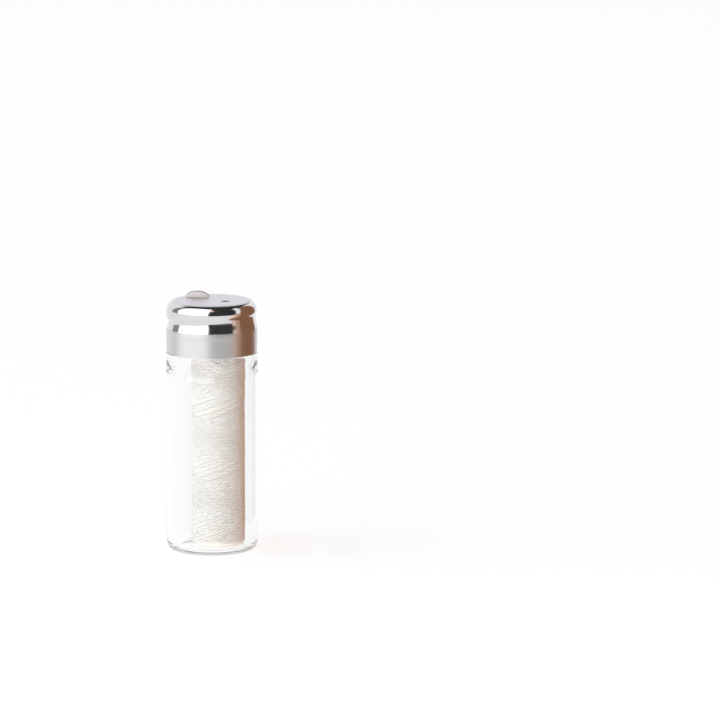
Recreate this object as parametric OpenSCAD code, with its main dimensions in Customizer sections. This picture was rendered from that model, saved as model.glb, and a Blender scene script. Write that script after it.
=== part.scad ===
// Dental floss dispenser: a glass vial with a pressed steel screw cap, and a
// cross-wound spool of silk floss standing inside it.
// Origin: on the vial's axis, on the plane it stands on. +Z is up, -Y is the front.

/* [Vial] */
// Outside diameter of the glass body
vial_d = 22; // [20:0.5:26]
// Thickness of the body's glass wall
vial_wall = 1.2; // [0.9:0.1:1.6]
// Height of the body, from the resting plane to the top of its shoulder
body_h = 48.3; // [48:0.1:60]
// Height of the neck above the shoulder
neck_h = 11.45; // [11.2:0.05:14]
// Thickness of the neck's glass wall
neck_wall = 1.3; // [1:0.1:1.6]
// Thickness of the floor, inside to resting plane
floor_t = 1.6; // [1.4:0.1:3]
// Outside radius of the heel
heel_r = 2.2; // [1.2:0.1:3]
// Height of the hollow pushed up under the base
push_up = 0.5; // [0.2:0.1:0.8]
// Radius of the body's shoulder, outside
shoulder_r = 0.3; // [0.2:0.05:0.5]
// Length over which the inside narrows from the body to the neck
throat_l = 6; // [4:0.5:9]

/* [Screw thread] */
// Rise of the thread in one turn
lead = 5; // [4.6:0.1:5.4]
// Depth of the groove rolled into the cap
roll_depth = 0.45; // [0.3:0.05:0.5]
// Width of the groove's upper flank
roll_up_w = 1.1; // [0.8:0.05:1.2]
// Width of the groove's lower flank
roll_low_w = 2.3; // [1.1:0.1:2.5]
// Height of the groove on the right side, below the top of the cap
roll_drop = 7.6; // [7.2:0.1:8]
// Height of the glass thread above the groove that holds it down
thread_lift = 1.5; // [1.4:0.05:1.7]
// Gap between the rolled ridge and the glass neck
neck_gap = 0.37; // [0.3:0.01:0.5]
// Gap between the glass thread and the cap's wall
thread_gap = 0.27; // [0.2:0.01:0.35]

/* [Cap] */
// Thickness of the pressed steel sheet
sheet = 0.3; // [0.2:0.05:0.4]
// How far the cap's skirt stands inside the outline of the glass
cap_inset = 0.08; // [0:0.01:0.2]
// Outside radius of the cap's crown
crown_r = 2.35; // [1.6:0.05:2.6]
// Gap between the skirt's lower edge and the glass shoulder
skirt_gap = 0.15; // [0.1:0.05:1]

/* [Floss hole and cutter] */
// Diameter of the floss hole
hole_d = 2; // [1:0.1:2.6]
// Place of the floss hole, to the right
hole_x = 3.3; // [3:0.1:4.5]
// Place of the floss hole, to the front
hole_front = 2; // [1:0.1:3]
// Width of the cutter flap
flap_w = 5.7; // [4.5:0.1:6.2]
// Length of the cutter flap, from its bend to its round tip
flap_l = 3.2; // [3.15:0.05:3.5]
// Angle by which the cutter flap is bent up
flap_tilt = 40; // [20:1:60]
// Inside radius of the bend
bend_r = 0.5; // [0.3:0.05:0.6]
// Place of the cutter flap, to the left
flap_left = 3.5; // [3.3:0.1:3.8]
// Place of the bend, to the back
flap_back = 4.8; // [4:0.1:5]
// Gap that the lancing cut leaves round the flap
cut_gap = 0.08; // [0.04:0.02:0.2]

/* [Rim gasket] */
// Thickness of the sealing ring
gasket_t = 0.7; // [0.5:0.05:1]
// Overlap of the ring inside the bore of the neck
gasket_lip = 1.15; // [0.5:0.05:1.5]
// Gap between the rim and the ring
rim_gap = 0.15; // [0.05:0.05:0.3]
// Gap between the ring and the cap
liner_gap = 0.1; // [0.05:0.05:0.2]

/* [Spool] */
// Bore of the paper core
core_bore = 4; // [3.4:0.1:4.6]
// Thickness of the paper core's wall
core_wall = 0.7; // [0.5:0.1:1]
// Length of the spool
spool_len = 46.8; // [42:0.1:47.2]
// Diameter of the wound package, under its outer turns
winding_d = 12.2; // [11:0.1:12.6]
// Radius of the package's edges
winding_edge = 0.8; // [0.5:0.1:1]
// Diameter of the floss
floss_d = 0.4; // [0.3:0.05:0.45]
// Number of outer turns
outer_turns = 24; // [12:1:24]
// Gap between the spool's side and the bore of the neck
side_gap = 0.4; // [0.3:0.05:0.8]

/* [Hidden] */

// Small gaps between parts, what a cut runs past a face, and how far one solid sinks into another
seat_gap = 0.05;
turns_gap = 0.1;
past = 1;
sunk = 0.1;

// Radii of the cap and the neck, from the outside of the glass inwards
vial_r = vial_d / 2;
cap_r = vial_r - cap_inset;
cap_in_r = cap_r - sheet;
ridge_r = cap_in_r - roll_depth;
neck_r = ridge_r - neck_gap;
neck_bore_r = neck_r - neck_wall;
thread_r = cap_in_r - thread_gap;
body_in_r = vial_r - vial_wall;

// Heights, from the rim to the top of the cap
rim_z = body_h + neck_h;
gasket_z = rim_z + rim_gap;
cap_in_z = gasket_z + gasket_t + liner_gap;
cap_z = cap_in_z + sheet;
skirt_z = body_h + skirt_gap;
crown_in_r = crown_r - sheet;

// Rims, heels and fillets of the glass
rim_round = neck_wall * 0.45;
heel_in_r = heel_r * 0.7;
neck_fillet = (vial_r - shoulder_r - neck_r) / 2;
rest_ring = 1.2;
rest_r = vial_r - heel_r - rest_ring;
dome_r = (rest_r * rest_r + push_up * push_up) / (2 * push_up);

// The spool stands to the right of the axis
core_in_r = core_bore / 2;
core_r = core_in_r + core_wall;
winding_r = winding_d / 2;
turn_r = winding_r + turns_gap + floss_d / 2;
spool_r = turn_r + floss_d / 2;
spool_x = neck_bore_r - side_gap - spool_r;
spool_z = floor_t + seat_gap;

// Thread path. The rolled groove climbs at the lead, and its last part runs level
roll_from = -25;
roll_to = 385;
roll_level = 302;
roll_ease = 14;
thread_from = -110;
thread_to = 230;
fade_deg = 35;
path_step = 8.2;

// Route of the floss end, from the last outer turn over the package's top and down the bore.
// It is measured from the spool's axis and the package's top
tail_dir = -60;
TAIL = [
    [turn_r, 0, -0.8], [turn_r - 0.1, 0, -0.4], [turn_r - 0.3, 0, 0], [turn_r - 0.7, 0, 0.2],
    [turn_r - 1.1, 0, 0.3],
    [4.2, 0.1, 0.3], [3.2, 0.1, 0.3], [2.1, 0, 0.3], [1.65, 0, 0.2], [1.3, 0, -0.15],
    [1.2, 0, -0.6], [1.2, 0, -2], [1.2, 0.1, -4], [1.1, 0.2, -6.5], [0.9, 0.3, -9],
    [0.8, 0.2, -11.5], [0.8, 0, -14], [0.9, -0.2, -16.5], [1, -0.2, -19],
    [1.1, -0.1, -21.5], [1.1, 0, -24.5]];
tail_steps = 2;

$fn = 96;

// Heights of the rolled groove and of the glass thread at an angle round the axis
function eased(a) = a - roll_ease * ln(1 + exp((a - roll_level) / roll_ease));
function roll_z(a) = cap_z - roll_drop + lead * eased(a) / 360;
function thread_z(a) = cap_z - roll_drop + thread_lift + lead * a / 360;

// How much of a thread's depth is there at an angle: none at its ends, all of it between
function fade(a, from, to) = smooth(min(1, max(0, min(a - from, to - a) / fade_deg)));
function smooth(t) = t * t * (3 - 2 * t);
function round_shape(t) = (1 + cos(180 * t)) / 2;

// Angles of a path's rings
function angles(from, to) =
    let (n = ceil((to - from) / path_step)) [for (i = [0 : n]) from + (to - from) * i / n];

// A closed tube: rings of points, each a closed loop of the same count
module tube(rings) {
    n = len(rings[0]);
    last = len(rings) - 1;
    side = [
        for (i = [0 : last - 1], j = [0 : n - 1])
        let (k = (j + 1) % n, a = i * n, b = (i + 1) * n)
        each [[a + j, b + j, b + k], [a + j, b + k, a + k]]];
    start = [for (j = [1 : n - 2]) [0, j, j + 1]];
    end = [for (j = [1 : n - 2]) [last * n, last * n + j + 1, last * n + j]];
    polyhedron(points = [for (ring = rings, p = ring) p], faces = concat(side, start, end));
}

// A point at a radius, an angle and a height
function polar(r, a, z) = [r * cos(a), r * sin(a), z];

// Section of the rolled groove: heights from its bottom, and the share of its depth there
roll_shape = [
    for (t = [-1 : 0.2 : 0]) [t * roll_low_w, round_shape(t)],
    for (t = [0.25 : 0.25 : 1]) [t * roll_up_w, round_shape(t)]];

function roll_ring(a, back, r, d) =
    let (z = roll_z(a))
    concat(
        [polar(back, a, z + roll_up_w), polar(back, a, z - roll_low_w)],
        [for (p = roll_shape) polar(r - d * p[1], a, z + p[0])]);

// The groove starts outside the cap, and the ridge it leaves inside starts within the sheet
groove_start = 0.06;
ridge_start = sheet / 2;
ridge_back = sheet * 0.6;

function groove_ring(a) =
    roll_ring(a, cap_r + past, cap_r + groove_start,
        (roll_depth + groove_start) * fade(a, roll_from, roll_to));

function ridge_ring(a) =
    roll_ring(a, cap_in_r + ridge_back, cap_in_r + ridge_start,
        (roll_depth + ridge_start) * fade(a, roll_from, roll_to));

// The glass thread's section: heights from its middle and shares of its depth
thread_half_w = 0.75;
thread_root = 0.4;
thread_back = 0.7;
thread_shape = [[1, 0], [0.8, 0.45], [0.45, 0.9], [0, 1], [-0.45, 0.9], [-0.8, 0.45], [-1, 0]];

function thread_ring(a) =
    let (root = neck_r - thread_root, z = thread_z(a), low = neck_r - sunk,
         crest = low + (thread_r - low) * fade(a, thread_from, thread_to))
    concat(
        [polar(neck_r - thread_back, a, z - thread_half_w),
         polar(neck_r - thread_back, a, z + thread_half_w)],
        [for (t = thread_shape)
            polar(root + (crest - root) * t[1], a, z + thread_half_w * t[0])]);

// A square whose upper outer corner is rounded, for sections that are spun round the axis
module round_top(r, z_low, z_high, corner) {
    difference() {
        translate([0, z_low]) square([r, z_high - z_low]);
        translate([r - corner, z_high - corner]) difference() {
            square(corner + past);
            circle(corner);
        }
    }
}

module round_bottom_cut(r, z_low, corner) {
    translate([r - corner, z_low - past]) difference() {
        square([corner + past, corner + past]);
        translate([0, corner + past]) circle(corner);
    }
}

module vial_section() {
    difference() {
        union() {
            difference() {
                round_top(vial_r, 0, body_h, shoulder_r);
                round_bottom_cut(vial_r, 0, heel_r);
            }
            round_top(neck_r, body_h - past, rim_z, rim_round);
            // Fillet between the shoulder and the neck
            translate([neck_r, body_h]) difference() {
                translate([-sunk, -sunk]) square(neck_fillet + sunk);
                translate([neck_fillet, neck_fillet]) circle(neck_fillet);
            }
        }
        // Inside of the body, which narrows to the neck
        difference() {
            polygon(concat(
                [[0, floor_t], [body_in_r, floor_t]],
                [for (t = [0 : 0.05 : 1])
                    [neck_bore_r + (body_in_r - neck_bore_r) * round_shape(t),
                     body_h - throat_l + throat_l * t]],
                [[neck_bore_r, rim_z + past], [0, rim_z + past]]));
            round_bottom_cut(body_in_r, floor_t, heel_in_r);
        }
        // Rounded inner edge of the rim
        translate([neck_bore_r - past, rim_z - rim_round]) difference() {
            square([rim_round + past, rim_round + past]);
            translate([rim_round + past, 0]) circle(rim_round);
        }
        // Hollow under the base
        intersection() {
            translate([0, push_up - dome_r]) circle(dome_r, $fn = 720);
            square([rest_r + past, push_up + past]);
        }
    }
}

module glass_vial() {
    color("aliceblue", 0.35) union() {
        rotate_extrude() vial_section();
        tube([for (a = angles(thread_from, thread_to)) thread_ring(a)]);
    }
}

module cap_section() {
    difference() {
        round_top(cap_r, skirt_z, cap_z, crown_r);
        round_top(cap_in_r, skirt_z - past, cap_in_z, crown_in_r);
    }
}

// Half-round outline of the cutter flap, with its straight side on the X axis
module flap_outline(w, l) {
    translate([0, -(l - w / 2)]) intersection() {
        circle(d = w);
        translate([-w, -w]) square([2 * w, w]);
    }
    translate([-w / 2, -(l - w / 2)]) square([w, l - w / 2]);
}

module flap_bend() {
    far = 4 * (bend_r + sheet);
    translate([-flap_left - flap_w / 2, flap_back, cap_z + bend_r])
        rotate([90, 0, 90])
            linear_extrude(flap_w) intersection() {
                difference() {
                    circle(bend_r + sheet);
                    circle(bend_r);
                }
                polygon([[0, 0], [0, -far], [-far * tan(flap_tilt), -far]]);
            }
}

module flap_plate() {
    translate([-flap_left, flap_back, cap_z + bend_r])
        rotate([-flap_tilt, 0, 0])
            translate([0, 0, -bend_r - sheet])
                linear_extrude(sheet) flap_outline(flap_w, flap_l - bend_r);
}

module screw_cap() {
    color("silver") union() {
        difference() {
            union() {
                rotate_extrude() cap_section();
                tube([for (a = angles(roll_from, roll_to)) ridge_ring(a)]);
            }
            tube([for (a = angles(roll_from, roll_to)) groove_ring(a)]);
            translate([hole_x, -hole_front, cap_in_z - past])
                cylinder(d = hole_d, h = sheet + 2 * past);
            translate([-flap_left, flap_back, cap_in_z - past])
                linear_extrude(sheet + 2 * past)
                    flap_outline(flap_w + 2 * cut_gap, flap_l + cut_gap);
        }
        flap_bend();
        flap_plate();
    }
}

// The ring's outer corner is cut back, where the cap's crown curves in
module rim_gasket() {
    out_r = neck_r - rim_round;
    crown_x = cap_r - crown_r;
    color("whitesmoke") rotate_extrude() intersection() {
        translate([neck_bore_r - gasket_lip, gasket_z])
            square([out_r - neck_bore_r + gasket_lip, gasket_t]);
        union() {
            translate([crown_x, cap_z - crown_r]) circle(crown_in_r - liner_gap);
            translate([0, gasket_z - past]) square([crown_x, gasket_t + 2 * past]);
        }
    }
}

module on_spool_axis() {
    translate([spool_x, 0, spool_z]) children();
}

module paper_core() {
    color("burlywood") on_spool_axis() difference() {
        cylinder(r = core_r, h = spool_len);
        translate([0, 0, -past]) cylinder(r = core_in_r, h = spool_len + 2 * past);
    }
}

module floss_winding() {
    color("ivory") on_spool_axis() rotate_extrude() difference() {
        round_top(winding_r, 0, spool_len, winding_edge);
        round_bottom_cut(winding_r, 0, winding_edge);
        translate([-past, -past]) square([core_r + seat_gap + past, spool_len + 2 * past]);
    }
}

// Path of the outer turns on the unrolled barrel: a straight end, a bend, the turns, and
// the same at the other end. Each point is a length round the barrel and a height
turn_bend = 2 * floss_d;
turn_rings = 24;
turns_low = winding_edge + floss_d + turn_bend;
turns_rise = spool_len - 2 * turns_low;
turn_length = 2 * PI * turn_r;
turns_total = outer_turns * turn_length;

TURNS = concat(
    [[-turn_bend, -turn_bend - floss_d]],
    [for (a = [0, 30, 60]) [-turn_bend * cos(a), -turn_bend * (1 - sin(a))]],
    [for (i = [0 : outer_turns * turn_rings])
        let (t = i / (outer_turns * turn_rings)) [t * turns_total, t * turns_rise]],
    [for (a = [60, 30, 0])
        [turns_total + turn_bend * cos(a), turns_rise + turn_bend * (1 - sin(a))]],
    [[turns_total + turn_bend, turns_rise + turn_bend + floss_d]]);

// The last point lies where the floss end begins
turn_start = tail_dir - 360 * (turns_total + turn_bend) / turn_length;
function on_barrel(p) = polar(turn_r, turn_start + 360 * p[0] / turn_length, turns_low + p[1]);
turn_path = [for (p = TURNS) on_barrel(p)];

// Rings of a tube along a path. The side of each ring points away from a given axis point
function unit(v) = v / norm(v);
function along(path, i) =
    i == 0 ? unit(path[1] - path[0])
    : i == len(path) - 1 ? unit(path[i] - path[i - 1])
    : unit(unit(path[i + 1] - path[i]) + unit(path[i] - path[i - 1]));
function ring_at(p, dir, out, d, sides) =
    let (u = unit(out - dir * (out * dir)), v = cross(dir, u))
    [for (k = [0 : sides - 1])
        let (a = 360 * (k + 0.5) / sides) p + (u * cos(a) + v * sin(a)) * d / 2];

module floss_outer_turns() {
    last = len(turn_path) - 1;
    color("linen") on_spool_axis() tube([
        for (i = [0 : last])
        let (p = turn_path[i], dir = i == 0 || i == last ? [0, 0, 1] : along(turn_path, i))
        ring_at(p, dir, [p[0], p[1], 0], floss_d, 6)]);
}

// Least gap of the outer turns to themselves, on their points, past half a turn
near_turns = [
    for (i = [0 : len(turn_path) - 1], j = [i + turn_rings / 2 : i + 3 * turn_rings / 2])
    if (j < len(turn_path)) norm(turn_path[i] - turn_path[j])];
turns_least_gap = min(near_turns) - floss_d;
echo(turns_least_gap = turns_least_gap);

// The floss end's rings lie on a smooth curve through the route's points
function curve(p, i, t) =
    let (n = len(p) - 1, a = p[max(0, i - 1)], b = p[i], c = p[i + 1], d = p[min(n, i + 2)])
    (2 * b + (c - a) * t + (2 * a - 5 * b + 4 * c - d) * t * t
        + (3 * b - 3 * c + d - a) * t * t * t) / 2;

tail_path = concat(
    [for (i = [0 : len(TAIL) - 2], s = [0 : tail_steps - 1]) curve(TAIL, i, s / tail_steps)],
    [TAIL[len(TAIL) - 1]]);

module floss_tail() {
    last = len(tail_path) - 1;
    color("linen") on_spool_axis() translate([0, 0, spool_len]) rotate([0, 0, tail_dir])
        tube([
            for (i = [0 : last])
            let (dir = i == 0 ? [0, 0, 1] : along(tail_path, i))
            ring_at(tail_path[i], dir, [dir[2], 1, -dir[0]], floss_d, 8)]);
}

glass_vial();
screw_cap();
rim_gasket();
paper_core();
floss_winding();
floss_outer_turns();
floss_tail();
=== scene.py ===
"""Dental floss dispenser: a glass vial, a pressed steel screw cap and a cross-wound silk spool."""

import math
import random

import bmesh
import bpy
from mathutils import Euler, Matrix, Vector


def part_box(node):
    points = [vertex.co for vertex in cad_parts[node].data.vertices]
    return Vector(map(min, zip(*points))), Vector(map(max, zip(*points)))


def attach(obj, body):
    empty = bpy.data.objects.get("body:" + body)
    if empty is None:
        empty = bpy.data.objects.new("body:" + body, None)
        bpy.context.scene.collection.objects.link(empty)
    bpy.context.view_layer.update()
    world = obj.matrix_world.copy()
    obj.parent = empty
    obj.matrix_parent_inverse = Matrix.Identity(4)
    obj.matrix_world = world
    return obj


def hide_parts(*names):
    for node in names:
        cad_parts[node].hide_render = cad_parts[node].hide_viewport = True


bl_info = {
    "name": "Dental floss dispenser",
    "version": (1, 0, 0),
    "blender": (4, 5, 0),
    "location": "View3D > Sidebar > Dispenser",
    "description": "Glass vial with a rolled-thread steel cap and a cross-wound spool of silk floss",
    "category": "Add Mesh",
}

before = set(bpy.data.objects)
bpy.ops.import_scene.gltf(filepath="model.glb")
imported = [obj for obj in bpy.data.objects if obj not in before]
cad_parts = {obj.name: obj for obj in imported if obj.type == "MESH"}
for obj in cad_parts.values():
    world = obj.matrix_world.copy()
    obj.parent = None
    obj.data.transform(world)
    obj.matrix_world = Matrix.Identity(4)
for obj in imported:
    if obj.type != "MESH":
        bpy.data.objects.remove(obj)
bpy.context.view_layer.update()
MM = 0.001

VIAL_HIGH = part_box("glass_vial")[1]
CAP_LOW, CAP_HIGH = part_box("screw_cap")
GASKET_LOW, GASKET_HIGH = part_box("rim_gasket")
CORE_LOW, CORE_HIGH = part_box("paper_core")
CAP_TOP = 61.0 * MM


def linear(code):
    """An sRGB hex colour as linear red, green, blue and alpha."""
    parts = [int(code[i : i + 2], 16) / 255 for i in (1, 3, 5)]
    return [p / 12.92 if p <= 0.04045 else ((p + 0.055) / 1.055) ** 2.4 for p in parts] + [1.0]


def length_property(name, description, default, low, high):
    """A size in metres with its limits."""
    return bpy.props.FloatProperty(
        name=name, description=description, default=default, min=low, max=high,
        unit="LENGTH", precision=5,
    )


def colour_property(name, description, code):
    """A colour, given as sRGB hex."""
    return bpy.props.FloatVectorProperty(
        name=name, description=description, default=linear(code), size=4,
        subtype="COLOR", min=0, max=1,
    )


class VialSizes(bpy.types.PropertyGroup):
    """Sizes of the glass vial."""

    radius: length_property("Radius", "Outside radius of the glass body", VIAL_HIGH.x, 0.008, 0.014)
    rim: length_property("Rim height", "Height of the rim above the table", VIAL_HIGH.z, 0.05, 0.08)
    shoulder: length_property("Shoulder height", "Height of the body's shoulder", 48.3 * MM, 0.04, 0.06)
    throat: length_property(
        "Throat", "Height over which the inside narrows to the neck", 6.0 * MM, 0.003, 0.01)
    wall: length_property("Wall", "Thickness of the glass wall", 1.2 * MM, 0.0009, 0.0016)
    floor: length_property("Floor", "Thickness of the glass floor", 1.6 * MM, 0.001, 0.003)
    heel: length_property("Heel radius", "Outside radius of the heel", 2.2 * MM, 0.001, 0.003)
    tint: colour_property("Glass tint", "Colour of the glass", "#fdfefe")


class CapSizes(bpy.types.PropertyGroup):
    """Sizes of the pressed steel cap."""

    radius: length_property("Radius", "Outside radius of the cap", CAP_HIGH.x, 0.008, 0.014)
    sheet: length_property("Sheet", "Thickness of the steel sheet", 0.3 * MM, 0.0002, 0.0004)
    crown: length_property("Crown radius", "Outside radius of the crown", 2.35 * MM, 0.001, 0.003)
    lead: length_property("Lead", "Rise of the thread in one turn", 5.0 * MM, 0.004, 0.006)
    groove: length_property("Groove depth", "Depth of the rolled groove", 0.45 * MM, 0.0003, 0.0006)
    hole: length_property("Floss hole", "Diameter of the floss hole", 2.0 * MM, 0.001, 0.003)
    steel: colour_property("Steel", "Colour of the stainless steel", "#dbdadb")


class SpoolSizes(bpy.types.PropertyGroup):
    """Sizes and colours of the spool."""

    core_radius: length_property(
        "Core radius", "Outside radius of the paper core", 2.7 * MM, 0.002, 0.004)
    core_bore: length_property("Core bore", "Inside radius of the paper core", 2.0 * MM, 0.001, 0.003)
    winding: length_property(
        "Winding radius", "Radius of the package under its outer turns", 6.22 * MM, 0.004, 0.008)
    floss: length_property("Floss", "Width of one flattened turn of floss", 0.6 * MM, 0.0002, 0.001)
    silk: colour_property("Silk", "Colour of the waxed silk", "#f8f5ee")
    kraft: colour_property("Kraft paper", "Colour of the core's paper", "#b58a60")


# Modelling


def deselect():
    """Leaves nothing selected, because an operator acts on all that is."""
    for obj in bpy.context.selected_objects:
        obj.select_set(False)


def named(name):
    """Names the object that was just added."""
    obj = bpy.context.object
    obj.name = obj.data.name = name
    return obj


def use(obj):
    """Makes this object the only selected and active one."""
    deselect()
    obj.select_set(True)
    bpy.context.view_layer.objects.active = obj


def arc(r, z, radius, start, end, steps):
    """Points of an arc in the (radius, height) plane, from one angle to another in degrees."""
    return [
        (r + radius * math.cos(math.radians(a)), z + radius * math.sin(math.radians(a)))
        for a in (start + (end - start) * i / steps for i in range(steps + 1))
    ]


def rows(r, low, high, step):
    """Points up or down a straight wall, no further apart than step and without its ends."""
    n = max(1, math.ceil(abs(high - low) / step))
    return [(r, low + (high - low) * i / n) for i in range(1, n)]


def turned(name, outline, steps, axis_x=0.0):
    """A turned shape: one point is extruded along the outline and the line is spun round the axis."""
    deselect()
    bpy.ops.mesh.primitive_plane_add(size=MM, location=(0, 0, 0))
    obj = named(name)
    bpy.ops.object.mode_set(mode="EDIT")
    bpy.ops.mesh.select_mode(type="VERT")
    bpy.ops.mesh.select_all(action="SELECT")
    bpy.ops.mesh.merge(type="CENTER")
    r, z = outline[0]
    bpy.ops.transform.translate(value=(axis_x + r, 0, z))
    for nr, nz in outline[1:]:
        bpy.ops.mesh.extrude_region_move(TRANSFORM_OT_translate={"value": (nr - r, 0, nz - z)})
        r, z = nr, nz
    bpy.ops.mesh.select_all(action="SELECT")
    bpy.ops.mesh.spin(steps=steps, angle=math.tau, center=(axis_x, 0, 0), axis=(0, 0, 1))
    bpy.ops.mesh.select_all(action="SELECT")
    bpy.ops.mesh.remove_doubles(threshold=0.002 * MM)
    bpy.ops.mesh.normals_make_consistent(inside=False)
    bpy.ops.object.mode_set(mode="OBJECT")
    return obj


def modify(obj, kind, **settings):
    """Adds a modifier, sets it and applies it."""
    use(obj)
    bpy.ops.object.modifier_add(type=kind)
    modifier = obj.modifiers[-1]
    for key, value in settings.items():
        setattr(modifier, key, value)
    bpy.ops.object.modifier_apply(modifier=modifier.name)


def smooth(obj, degrees=35):
    """Smooth shading, with edges sharper than this left sharp."""
    use(obj)
    bpy.ops.object.shade_smooth_by_angle(angle=math.radians(degrees))


def cut(obj, cutter):
    """Cuts the cutter's closed shape out of the object, and removes the cutter."""
    modify(obj, "BOOLEAN", operation="DIFFERENCE", object=cutter, solver="EXACT")
    bpy.data.objects.remove(cutter)


def finish_piece(obj, body, slot, replaced, *materials):
    """Gives a piece its materials and its body, and hides the CAD nodes it stands for. Its slot is not
    used.
    """
    for material in materials:
        obj.data.materials.append(material)
    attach(obj, body)
    if replaced:
        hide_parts(*replaced)
    return obj


def step_between(value, low, high):
    """0 below low, 1 above high, and eased between."""
    t = min(1.0, max(0.0, (value - low) / (high - low)))
    return t * t * (3 - 2 * t)


# Materials


def node(tree, kind, inputs=None, **settings):
    """Adds a node. Settings are its properties. Inputs are values, or what to link from.

    That is a socket, or a node, which stands for its first output.
    """
    made = tree.nodes.new(kind)
    for key, value in settings.items():
        setattr(made, key, value)
    for key, value in (inputs or {}).items():
        if isinstance(value, bpy.types.Node):
            value = value.outputs[0]
        if isinstance(value, bpy.types.NodeSocket):
            tree.links.new(value, made.inputs[key])
        else:
            made.inputs[key].default_value = value
    return made


def surface(name):
    """A new material with an empty tree and its output."""
    material = bpy.data.materials.new(name)
    material.use_nodes = True
    tree = material.node_tree
    tree.nodes.clear()
    return material, tree, node(tree, "ShaderNodeOutputMaterial")


def polished_steel(colour):
    """Stainless steel buffed to a mirror: clear reflections, softened by wipe marks and hairlines."""
    material, tree, out = surface("polished_stainless_steel")
    place = node(tree, "ShaderNodeTexCoord").outputs["Object"]
    # Hairlines from handling, 0.05 mm apart in truth and drawn at 0.3 mm
    stretch = node(tree, "ShaderNodeMapping", {"Vector": place, "Scale": (350, 350, 3300)})
    hair = node(tree, "ShaderNodeTexNoise", {"Vector": stretch, "Scale": 1.0, "Detail": 3.0})
    wipe = node(tree, "ShaderNodeTexNoise", {"Vector": place, "Scale": 180.0, "Detail": 2.0})
    rough = node(tree, "ShaderNodeMapRange", {"Value": wipe, "From Min": 0.35, "From Max": 0.7,
                                              "To Min": 0.1, "To Max": 0.16})
    bump = node(tree, "ShaderNodeBump", {"Height": hair, "Strength": 0.04, "Distance": 0.02 * MM})
    shade = node(tree, "ShaderNodeBsdfPrincipled", {
        "Base Color": colour, "Metallic": 1.0, "Roughness": rough, "Normal": bump})
    tree.links.new(shade.outputs[0], out.inputs["Surface"])
    return material


def brushed_steel(colour):
    """The same sheet with its skirt brushed round the axis: reflections spread up and down."""
    material, tree, out = surface("brushed_stainless_steel")
    place = node(tree, "ShaderNodeTexCoord").outputs["Object"]
    # Brush lines about 0.03 mm wide, drawn at 0.12 mm
    stretch = node(tree, "ShaderNodeMapping", {"Vector": place, "Scale": (60, 60, 8000)})
    lines = node(tree, "ShaderNodeTexNoise", {"Vector": stretch, "Scale": 1.0, "Detail": 4.0})
    rough = node(tree, "ShaderNodeMapRange", {"Value": lines, "From Min": 0.3, "From Max": 0.7,
                                              "To Min": 0.4, "To Max": 0.5})
    bump = node(tree, "ShaderNodeBump", {"Height": lines, "Strength": 0.1, "Distance": 0.02 * MM})
    round_axis = node(tree, "ShaderNodeTangent", direction_type="RADIAL", axis="Z")
    shade = node(tree, "ShaderNodeBsdfPrincipled", {
        "Base Color": colour, "Metallic": 1.0, "Roughness": rough, "Anisotropic": 0.8,
        "Anisotropic Rotation": 0.25, "Normal": bump, "Tangent": round_axis})
    tree.links.new(shade.outputs[0], out.inputs["Surface"])
    return material


def satin_steel(colour):
    """The same sheet with the fine grain of a blasted finish, on the cap's top and the cutter flap."""
    material, tree, out = surface("satin_stainless_steel")
    place = node(tree, "ShaderNodeTexCoord").outputs["Object"]
    # Grain of 0.1 mm, drawn at 0.25 mm
    grain = node(tree, "ShaderNodeTexNoise", {"Vector": place, "Scale": 4000.0, "Detail": 2.0})
    rough = node(tree, "ShaderNodeMapRange", {"Value": grain, "From Min": 0.3, "From Max": 0.7,
                                              "To Min": 0.34, "To Max": 0.42})
    bump = node(tree, "ShaderNodeBump", {"Height": grain, "Strength": 0.12, "Distance": 0.02 * MM})
    shade = node(tree, "ShaderNodeBsdfPrincipled", {
        "Base Color": colour, "Metallic": 1.0, "Roughness": rough, "Normal": bump})
    tree.links.new(shade.outputs[0], out.inputs["Surface"])
    return material


def mill_steel(name, pale, dull):
    """The sheet's faces as the rolls and the shear leave them: matt and slightly mottled. The tones it
    is given carry painted light and shade.
    """
    material, tree, out = surface(name)
    place = node(tree, "ShaderNodeTexCoord").outputs["Object"]
    mottle = node(tree, "ShaderNodeTexNoise", {"Vector": place, "Scale": 900.0, "Detail": 4.0})
    tone = node(tree, "ShaderNodeMixRGB", {"Fac": mottle, "Color1": linear(pale),
                                           "Color2": linear(dull)})
    rough = node(tree, "ShaderNodeMapRange", {"Value": mottle, "To Min": 0.6, "To Max": 0.72})
    bump = node(tree, "ShaderNodeBump", {"Height": mottle, "Strength": 0.15, "Distance": 0.02 * MM})
    shade = node(tree, "ShaderNodeBsdfPrincipled", {
        "Base Color": tone, "Metallic": 0.1, "Specular IOR Level": 0.15,
        "Roughness": rough, "Normal": bump})
    tree.links.new(shade.outputs[0], out.inputs["Surface"])
    return material


def vial_glass(colour):
    """Clear tube glass, drawn and flame-worked: no colour, a fire-polished surface with slow waves."""
    material, tree, out = surface("clear_tube_glass")
    place = node(tree, "ShaderNodeTexCoord").outputs["Object"]
    # Draw lines run along the tube, several millimetres wide and microns deep
    stretch = node(tree, "ShaderNodeMapping", {"Vector": place, "Scale": (220, 220, 14)})
    waves = node(tree, "ShaderNodeTexNoise", {"Vector": stretch, "Scale": 1.0, "Detail": 1.0})
    bump = node(tree, "ShaderNodeBump", {"Height": waves, "Strength": 0.05, "Distance": 0.2 * MM})
    shade = node(tree, "ShaderNodeBsdfPrincipled", {
        "Base Color": colour, "Roughness": 0.0, "IOR": 1.5, "Transmission Weight": 1.0,
        "Normal": bump})
    tree.links.new(shade.outputs[0], out.inputs["Surface"])
    return material


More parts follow.
